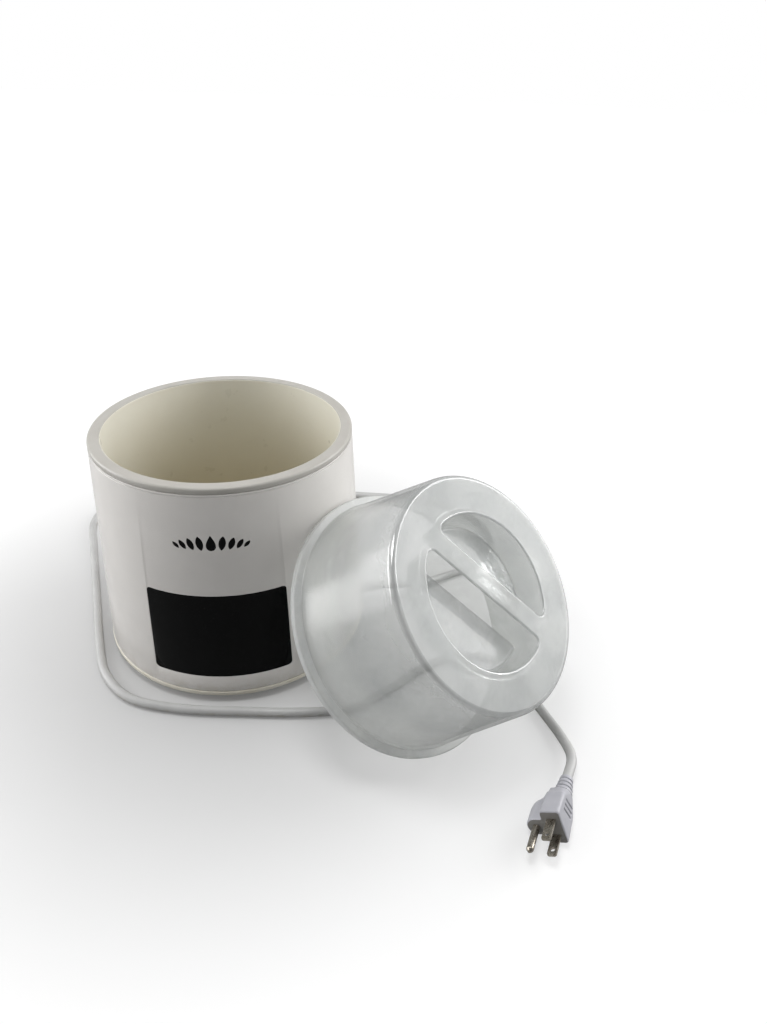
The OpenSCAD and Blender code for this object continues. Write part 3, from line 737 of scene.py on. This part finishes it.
def lid_cloud(centre, normal, z):
    """How milky the lid is in its own frame, from a face's centre and normal and
    the height of its corner: full on the top, less in its recess and down its wall."""
    if centre.to_2d().length < RECESS_R + 3:
        recess_floor = centre.z < LID_H - 10 and abs(normal.z) > 0.8
        if centre.z < LID_H - 2 and not recess_floor:
            return CLOUD_RECESS_WALL
        return CLOUD_TOP
    if z < FLANGE_H + 0.5:
        return CLOUD_FLANGE
    return max(0.0, min(1.0, (z - LID_H + 6) / 5)) * CLOUD_TOP


def mark_lid(mesh):
    """Stores on the lid where it is milky, worn dull and rounded, for its look."""
    back = LID_FRAME.inverted()
    turn_back = back.to_3x3()
    cloud = mesh.attributes.new("cloud", "FLOAT", "CORNER")
    worn = mesh.attributes.new("worn", "FLOAT", "FACE")
    fillet = mesh.attributes.new("fillet", "FLOAT", "FACE")
    for face in mesh.polygons:
        centre, normal = back @ (face.center / MM), turn_back @ face.normal
        away, flat = centre.to_2d().length, abs(normal.z) > 0.9999
        face.use_smooth = not flat
        edge_h = RECESS_EDGE_H if away < RECESS_R + 3 else TOP_EDGE_H
        near_top = centre.z > LID_H - edge_h
        fillet.data[face.index].value = 1.0 if near_top and not flat else 0.0
        if flat and centre.z > LID_H - 1:
            worn.data[face.index].value = 1.0
        elif away > LID_TOP_R - 4 and centre.z < LID_H - 4:
            worn.data[face.index].value = WALL_WORN
        for corner, vertex in zip(face.loop_indices, face.vertices):
            z = (back @ (mesh.vertices[vertex].co / MM)).z
            cloud.data[corner].value = lid_cloud(centre, normal, z)


def build_lid():
    """The lid, one shell with an outer and an inner skin that follow each other
    round the flange, the wall, the top and the two pockets beside the grip bar."""
    verts, faces = [], []

    def add_ring(points):
        start = len(verts)
        verts.extend(points)
        return list(range(start, start + len(points)))

    def join(a, b):
        for k in range(len(a)):
            j = (k + 1) % len(a)
            faces.append([a[k], a[j], b[j], b[k]])

    w = LID_WALL
    # the last point of each only gives the direction of the flat top
    outside = rounded([
        (FLANGE_R - w, 0, 0.6), (FLANGE_R, 0, 0.7), (FLANGE_R, FLANGE_H, 1.3),
        (LID_BASE_R, FLANGE_H, 1.1), (LID_TOP_R, LID_H, LID_EDGE), (60, LID_H, 0)],
        8, closed=False)
    inside = rounded([
        (FLANGE_R - w, 0, 0.0), (FLANGE_R - w, FLANGE_H - w + 0.2, 0.8),
        (LID_BASE_R - w, FLANGE_H - w + 0.2, 1.2),
        (LID_TOP_R - w, LID_H - w, LID_EDGE - w), (60, LID_H - w, 0)], 8, closed=False)
    outside, inside = outside[:-1], inside[:-1]

    def ring_at(r, z):
        turns = [TAU * k / ROUND_SEGMENTS for k in range(ROUND_SEGMENTS)]
        return [(r * math.cos(t), r * math.sin(t), z) for t in turns]

    rings = [add_ring(ring_at(r, z)) for r, z in reversed(inside)]
    rings += [add_ring(ring_at(r, z)) for r, z in outside[1:]]
    for a, b in zip(rings, rings[1:]):
        join(a, b)
    tops = {"outside": [rings[-1]], "inside": [rings[0]]}
    flats = []
    for layer, lift, grow, r_top, r_floor in (
            ("outside", 0.0, 0.0, 1.4, 2.6), ("inside", -w, w, 3.4, 0.8)):
        path = rounded([(grow + 8, lift, 0), (grow, lift, r_top),
                        (grow - DRAFT, lift - RECESS_DEPTH, r_floor),
                        (grow - 20, lift - RECESS_DEPTH, 0)], 7, closed=False)[1:-1]
        for side in (-1, 1):
            loops = [add_ring(pocket_loop(side, g, LID_H + z)) for g, z in path]
            for a, b in zip(loops, loops[1:]):
                join(a, b)
            tops[layer].append(loops[0])
            flats.append(loops[-1])
    bm = bmesh.new()
    points = [bm.verts.new(v) for v in verts]
    for f in faces:
        bm.faces.new([points[i] for i in f])
    for layer in tops.values():
        edges = []
        for loop in layer:
            for k in range(len(loop)):
                pair = (points[loop[k - 1]], points[loop[k]])
                edges.append(bm.edges.get(pair) or bm.edges.new(pair))
        bmesh.ops.triangle_fill(bm, edges=edges, use_beauty=True)
    for loop in flats:
        bm.faces.new([points[i] for i in loop])
    for v in bm.verts:
        v.co = (LID_FRAME @ v.co) * MM
    mesh = bpy.data.meshes.new("clear_lid")
    bm.to_mesh(mesh)
    bm.free()
    lid = keep_mesh("clear_lid", mesh, "clear_plastic", "lid", sharp=35)
    mark_lid(lid.data)
    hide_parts("lid")


# --------------------------------------------------------- lead and plug
def lead_route():
    """The lead's route, through the same points as in part.scad: out of the
    bath, down to the table, round behind the bath and past its front to the plug."""
    lead_z = CORD_D / 2 + 0.1
    reach = GLAND_R + GLAND_LEN
    start = (reach * math.cos(OUTLET_ANGLE), reach * math.sin(OUTLET_ANGLE), OUTLET_Z)
    end = tuple(PLUG_FRAME @ Vector((-PLUG_LEN - RELIEF_LEN, 0, 0)))
    flat = [(206, 51), (228, 62), (243, 82), (248, 108), (243, 134), (228, 158),
            (203, 178), (166, 191), (120, 198), (68, 203), (12, 205), (-45, 204),
            (-98, 200), (-140, 190), (-166, 170), (-171, 140), (-159, 98), (-144, 50),
            (-129, 2), (-115, -42), (-100, -80), (-74, -108), (-33, -120), (15, -124),
            (62, -126), (100, -122), (132, -102), (160, -80), (190, -67), (218, -72),
            (237, -94), (246, -124)]
    points = [start, (140, 15, 17.4), (155, 19.5, 14.6), (171, 29, 9), (188, 41, 4.8)]
    points += [(x, y, lead_z) for x, y in flat]
    points += [(256, -155, 4.6), (257.5, -177, 7.6), end]
    return [Vector(p) for p in points]


def smooth_line(points, steps):
    """Points along the smooth curve through a list of points."""
    last = len(points) - 1
    line = []
    for i in range(last):
        a = 2 * points[0] - points[1] if i == 0 else points[i - 1]
        b, c = points[i], points[i + 1]
        d = 2 * points[last] - points[last - 1] if i == last - 1 else points[i + 2]
        for k in range(steps):
            t = k / steps
            line.append(0.5 * (2 * b + (c - a) * t + (2 * a - 5 * b + 4 * c - d) * t * t
                               + (3 * b - a - 3 * c + d) * t ** 3))
    line.append(points[last])
    return line


def build_lead():
    line = [p * MM for p in smooth_line(lead_route(), 10)]
    curve = bpy.data.curves.new("mains_lead", "CURVE")
    curve.dimensions = "3D"
    curve.bevel_depth = CORD_D / 2 * MM
    curve.bevel_resolution = 6
    curve.use_fill_caps = True
    spline = curve.splines.new("POLY")
    spline.points.add(len(line) - 1)
    for point, place in zip(spline.points, line):
        point.co = (*place, 1)
        point.radius = 1
    spline.use_smooth = True
    curve.materials.append(LOOKS["cord_white"].material)
    lead = bpy.data.objects.new("mains_lead", curve)
    scene.collection.objects.link(lead)
    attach(lead, "bath")
    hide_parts("power_cord")
    length = sum((b - a).length for a, b in zip(line, line[1:]))
    return lead, line[0], length


def build_gland():
    tip, root = CORD_D / 2 + 0.9, 6.2
    # its root is held in the shell's wall, and ribs run along its taper
    profile = [(0, GLAND_R - 4, 0), (5.4, GLAND_R - 4, 0), (5.4, GLAND_R - 0.4, 0),
               (7.2, GLAND_R - 0.4, 0.3), (7.2, GLAND_R + 2.4, 0.8)]
    for i in range(4):
        x = 4 + 3.4 * i
        r = root + (tip - root) * x / GLAND_LEN
        profile += [(r, GLAND_R + x - 1.4, 0.25), (r, GLAND_R + x, 0.25),
                    (r - 0.9, GLAND_R + x + 0.4, 0.15), (r - 0.9, GLAND_R + x + 2, 0.15)]
    profile += [(tip, GLAND_R + GLAND_LEN - 1.6, 0.2), (tip, GLAND_R + GLAND_LEN, 0.5),
                (0, GLAND_R + GLAND_LEN, 0)]
    gland = lathe("lead_sleeve", rounded(profile, 3, closed=False), "cord_white", "bath",
                  SLEEVE_SEGMENTS, GLAND_FRAME, loop=False)
    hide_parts("cord_gland")


def build_relief():
    r0, r1 = CORD_D / 2 + 0.8, 6.4
    profile = [(0, 0, 0), (r0, 0, 0.4)]
    for i in range(3):
        x = 3 + 4 * i
        r = r0 + (r1 - r0) * x / RELIEF_LEN
        profile += [(r, x, 0.25), (r - 0.8, x + 0.3, 0.15), (r - 0.8, x + 1.3, 0.15),
                    (r + 0.2, x + 1.6, 0.25)]
    profile += [(r1, RELIEF_LEN, 0), (0, RELIEF_LEN, 0)]
    place = (PLUG_FRAME @ Matrix.Translation((-PLUG_LEN - RELIEF_LEN, 0, 0))
             @ Matrix.Rotation(math.radians(90), 4, "Y"))
    relief = lathe("plug_sleeve", rounded(profile, 3, closed=False), "plug_plastic",
                   "bath", SLEEVE_SEGMENTS, place, loop=False)
    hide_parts("plug_relief")
    return relief


def along(table, x):
    """A value read off a table of (x, value) by straight lines."""
    for (x0, v0), (x1, v1) in zip(table, table[1:]):
        if x <= x1:
            return v0 + (v1 - v0) * (x - x0) / (x1 - x0)
    return table[-1][1]


def soft_least(a, b, soft):
    """The smaller of two lengths, blended where they are close."""
    h = max(0.0, min(1.0, 0.5 + 0.5 * (b - a) / soft))
    return b + (a - b) * h - soft * h * (1 - h)


# reach of the plug's body along its length, as (x, mm): towards the earth pin, to
# each side, away from the pin, and the radius of its block's long edges
PIN_SIDE = [(-30, 6.5), (-24, 7.5), (-19, 10.2), (-16, 14.2), (-12, 17.2), (-8, 18.4),
            (0, 18.4)]
BLADE_HALF = [(-30, 6.5), (-20, 11.5), (0, 13)]
BACK_SIDE = [(-30, 6.5), (-22, 7), (0, 7)]
BLOCK_CORNER = [(-30, 6.3), (-17, 2.2), (0, 2.0)]
FAR_OUT = 99.0


def plug_reach(x, angle):
    """Distance from the plug's middle line to its skin, at an angle about it."""
    dy, dz = math.cos(angle), math.sin(angle)

    def inside(d):
        y, z = PLUG_MIDDLE_Y + d * dy, d * dz
        wide = along(BLADE_HALF, x)
        block = box_distance(y - BLOCK_MIDDLE_Y, abs(z), BLOCK_HALF_Y, wide,
                             along(BLOCK_CORNER, x))
        if y < -PIN_OFFSET:
            lobe = math.hypot(y + PIN_OFFSET, z) - LOBE_R
        else:
            lobe = abs(z) - LOBE_R if y < 0 else FAR_OUT
        whole = soft_least(block, lobe, 2.0)
        cap = -along(PIN_SIDE, x) - y
        back = y - along(BACK_SIDE, x)
        return max(whole, -soft_least(-cap, -back, 0.5))

    low, high = 0.0, 30.0
    for _ in range(26):
        mid = (low + high) / 2
        if inside(mid) > 0:
            high = mid
        else:
            low = mid
    return low


def box_distance(y, z, half_y, half_z, r):
    """Distance to a rectangle with corners of radius r, negative inside it."""
    dy, dz = abs(y) - half_y + r, z - half_z + r
    return math.hypot(max(dy, 0), max(dz, 0)) + min(max(dy, dz), 0) - r


def build_plug():
    sides = PLUG_SIDES
    # each section's x and how far it is drawn in, rounded at both ends
    sections = [(-30, 0.9), (-29.7, 0.4), (-29.2, 0.1), (-28.6, 0)]
    sections += [(-28 + 0.5 * k, 0) for k in range(54)]
    sections += [(-0.9, 0.05), (-0.55, 0.2), (-0.25, 0.45), (0, 0.9)]
    verts, faces = [], []
    for x, inset in sections:
        for k in range(sides):
            angle = TAU * k / sides
            d = plug_reach(x, angle) - inset
            y, z = PLUG_MIDDLE_Y + d * math.cos(angle), d * math.sin(angle)
            for groove in GRIP_X:
                if y > 4 and abs(z) < 6.5 and abs(x - groove - GRIP_SLANT * z) < GRIP_HALF:
                    y -= GRIP_DEPTH
            verts.append((x, y, z))
    for i in range(len(sections) - 1):
        for k in range(sides):
            j = (k + 1) % sides
            faces.append([i * sides + k, i * sides + j, (i + 1) * sides + j,
                          (i + 1) * sides + k])
    faces.append(list(range(sides)))
    faces.append([(len(sections) - 1) * sides + k for k in range(sides)])
    plug = mesh_object("plug_shell", verts, faces, "plug_plastic", "bath", PLUG_FRAME)
    back = PLUG_FRAME.inverted()
    # marks the front face for its greyer colour, partly insert plastic and partly painted shade
    insert_and_shade = plug.data.attributes.new("insert_and_shade", "FLOAT", "FACE")
    for face, value in zip(plug.data.polygons, insert_and_shade.data):
        value.value = 1.0 if (back @ (face.center / MM)).x > -0.1 else 0.0
    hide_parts("plug_body")
    return plug


def prism(outline, z0, z1, bevel):
    """A closed prism over an outline (x, y), with bevelled edges."""
    bm = bmesh.new()
    face = bm.faces.new([bm.verts.new((x, y, z0)) for x, y in outline])
    grown = bmesh.ops.extrude_face_region(bm, geom=[face])
    for v in grown["geom"]:
        if isinstance(v, bmesh.types.BMVert):
            v.co.z = z1
    edges = [e for e in bm.edges if len(e.link_faces) == 2
             and e.calc_face_angle() > math.radians(60)]
    bmesh.ops.bevel(bm, geom=edges, offset=bevel, segments=2, profile=0.5,
                    affect="EDGES", clamp_overlap=True)
    bmesh.ops.recalc_face_normals(bm, faces=bm.faces)
    verts = [tuple(v.co) for v in bm.verts]
    faces = [[v.index for v in f.verts] for f in bm.faces]
    bm.free()
    return verts, faces


def build_prongs():
    verts, faces = [], []
    outline = rounded([
        (-BLADE_ROOT, -BLADE_HALF_W, 0), (BLADE_LEN, -BLADE_HALF_W, 1.5),
        (BLADE_LEN, BLADE_HALF_W, 1.5), (-BLADE_ROOT, BLADE_HALF_W, 0)], 4)
    for z in (-BLADE_GAP / 2, BLADE_GAP / 2):
        v, f = prism(outline, z - BLADE_HALF_T, z + BLADE_HALF_T, 0.2)
        faces += [[i + len(verts) for i in face] for face in f]
        verts += v
    blades = mesh_object("plug_contacts", verts, faces, "nickel", "bath", PLUG_FRAME)
    holes = []
    for z in (-BLADE_GAP / 2, BLADE_GAP / 2):
        holes.append((*rod_mesh(BLADE_HOLE_R, z - 2, z + 2, 32),
                      PLUG_FRAME @ Matrix.Translation((BLADE_HOLE_X, 0, 0))))
    cut(blades, holes)
    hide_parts("plug_blades")
    profile = rounded([(0, 0, 0), (PIN_R, 0, 0), (PIN_R, PIN_LEN - 2, 1.6),
                       (1.0, PIN_LEN, 0.8), (0, PIN_LEN, 0)], 6, closed=False)
    place = (PLUG_FRAME @ Matrix.Translation((-PIN_ROOT, -PIN_OFFSET, 0))
             @ Matrix.Rotation(math.radians(90), 4, "Y"))
    pin = lathe("earth_pin", profile, "nickel", "bath", PIN_SEGMENTS, place, loop=False)
    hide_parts("ground_pin")
    return blades, pin


# -------------------------------------------------------------------- build
build_shell()
build_panel()
build_rim()
build_pot()
build_base()
build_mark()
build_lid()
build_gland()
lead, lead_start, lead_length = build_lead()
relief = build_relief()
plug = build_plug()
blades, pin = build_prongs()

# CAD nodes that stay as they are take the same finishes, slot by slot
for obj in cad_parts.values():
    for place in obj.material_slots:
        key = place.material.name.split(".")[0] if place.material else ""
        if key in LOOKS:
            place.material = LOOKS[key].material


# -------------------------------------------------------- floor and lights
# share of its full brightness that the floor shows the camera near the bath, the
# smaller share of that right by the bath, a painted shade round it, and the distances,
# in metres, over which it rises: by the bath, then far from it
FLOOR_GLOW, FLOOR_SHADED_SHARE = 0.55, 0.15
GLOW_SHADE_SPAN, GLOW_FAR = (0.1, 0.36), (0.5, 1.4)


def build_floor():
    """A pale floor. The camera sees it a little brighter than it lights the bath, so
    that it stays pale without washing the white plastic out. Right by the bath that
    glow is dimmed, a painted shade round it."""
    look = Look("studio_floor", roughness=0.7)
    look.set(specular_ior_level=0.1, emission_color=(1, 1, 1, 1))
    wide = look.noise(300, detail=3)
    look.colour(look.blend(wide, (0.5, 0.5, 0.5, 1), (0.48, 0.48, 0.48, 1)))
    path = look.tree.nodes.new("ShaderNodeLightPath")
    away = look.tree.nodes.new("ShaderNodeVectorMath")
    away.operation = "LENGTH"
    look.tree.links.new(look.place, away.inputs[0])
    # painted shade: the glow the camera sees is dimmed close to the bath, as a soft shadow
    # round it
    shaded_glow = look.spread(away.outputs["Value"], *GLOW_SHADE_SPAN, FLOOR_GLOW * FLOOR_SHADED_SHARE,
                       FLOOR_GLOW)
    far = look.maths("ADD", shaded_glow, look.spread(away.outputs["Value"], *GLOW_FAR, 0.0,
                                              1 - FLOOR_GLOW))
    glow = look.maths("MULTIPLY", path.outputs["Is Camera Ray"], far)
    look.feed(look.shader.inputs["Emission Strength"], glow)
    verts, faces = lathe_mesh([(0, -0.35), (1500, -0.35), (9000, -0.35)], 96, loop=False)
    mesh = bpy.data.meshes.new("studio_floor")
    mesh.from_pydata([Vector(v) * MM for v in verts], [], faces)
    mesh.materials.append(look.material)
    floor = bpy.data.objects.new("studio_floor", mesh)
    scene.collection.objects.link(floor)


# soft lamps in metres and watts: name, place, target, width, height, power
LAMPS = [
    ("left", (-1.2, 0.1, 0.55), (0, 0, 0.1), 1.0, 1.1, 13),
    ("right", (1.35, 0.25, 0.6), (0.05, 0, 0.1), 1.0, 1.1, 15),
    ("overhead", (-0.08, -0.17, 1.55), (0.05, -0.05, 0), 0.5, 0.42, 7.5),
    ("window", (1.43, 0.14, 0.48), (0.2, -0.105, 0.117), 0.11, 0.1, 0.5),
]


def build_lamp(name, place, target, width, height, power):
    data = bpy.data.lights.new(name, "AREA")
    data.shape = "RECTANGLE"
    data.size, data.size_y = width, height
    data.energy = power
    lamp = bpy.data.objects.new(name, data)
    lamp.location = place
    aim = Vector(target) - Vector(place)
    lamp.rotation_euler = aim.to_track_quat("-Z", "Y").to_euler()
    scene.collection.objects.link(lamp)
    lamp.visible_camera = False


# strength of the world's white light in front of the bath and behind it, and the
# directions, as Y, between which it changes
SKY_FRONT, SKY_BACK, SKY_RAMP = 0.13, 0.5, (-0.8, 0.6)


def build_world():
    """White all round for the camera, and dimmer in front of the bath for the
    light and reflections on it."""
    world = bpy.data.worlds.new("studio")
    world.use_nodes = True
    tree = world.node_tree
    sky = tree.nodes["Background"]
    sky.inputs["Color"].default_value = (1, 1, 1, 1)
    coords = tree.nodes.new("ShaderNodeTexCoord")
    parts = tree.nodes.new("ShaderNodeSeparateXYZ")
    ramp = tree.nodes.new("ShaderNodeMapRange")
    tree.links.new(coords.outputs["Generated"], parts.inputs[0])
    tree.links.new(parts.outputs["Y"], ramp.inputs["Value"])
    for key, value in zip(("From Min", "From Max", "To Min", "To Max"),
                          (*SKY_RAMP, SKY_FRONT, SKY_BACK)):
        ramp.inputs[key].default_value = value
    path = tree.nodes.new("ShaderNodeLightPath")
    seen = tree.nodes.new("ShaderNodeMath")
    seen.operation = "MAXIMUM"
    tree.links.new(path.outputs["Is Camera Ray"], seen.inputs[0])
    tree.links.new(ramp.outputs[0], seen.inputs[1])
    tree.links.new(seen.outputs[0], sky.inputs["Strength"])
    scene.world = world


build_floor()
for lamp in LAMPS:
    build_lamp(*lamp)
build_world()
scene.view_settings.view_transform = "Standard"
scene.cycles.use_denoising = True
scene.cycles.transparent_max_bounces = 24
